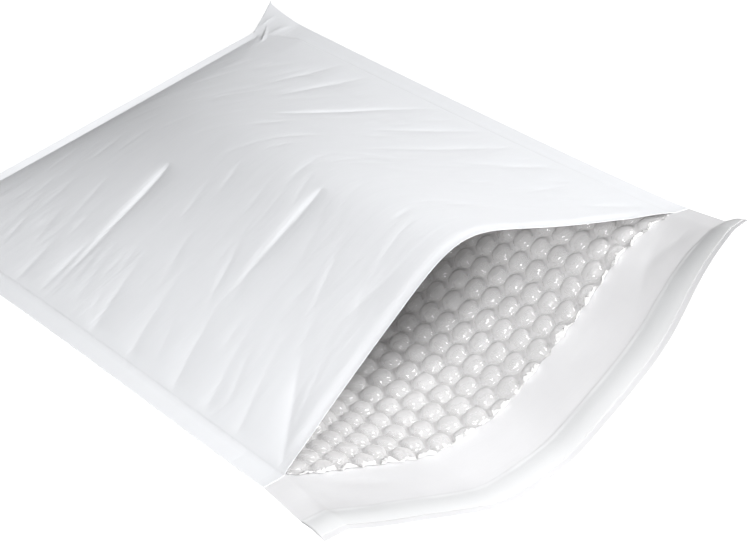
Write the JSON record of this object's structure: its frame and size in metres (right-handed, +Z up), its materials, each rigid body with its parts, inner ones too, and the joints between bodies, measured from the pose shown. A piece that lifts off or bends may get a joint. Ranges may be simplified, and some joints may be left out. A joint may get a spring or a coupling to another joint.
{
  "type": "padded envelope",
  "caption": "Padded paper envelope lined with bubble film, lying on its back with its mouth open and its closing flap out.",
  "frame": {"origin": "on the resting plane, under the middle of the box around the whole mailer with its flap out", "axes": "+X across the mouth, +Y from the mouth to the closed end, +Z up out of the front sheet"},
  "size_m": [0.24, 0.3954, 0.079],
  "materials": {
    "white_paper": "matt white kraft paper, lightly creased",
    "bubble_film": "thin translucent bubble film, laminated",
    "adhesive": "tacky glue band",
    "release_paper": "smooth siliconised paper"
  },
  "bodies": {
    "root": {"back_paper": "white_paper", "front_paper": "white_paper", "back_bubble_liner": "bubble_film", "front_bubble_liner": "bubble_film", "adhesive_strip": "adhesive", "release_strip": "release_paper"}
  },
  "joints": []
}
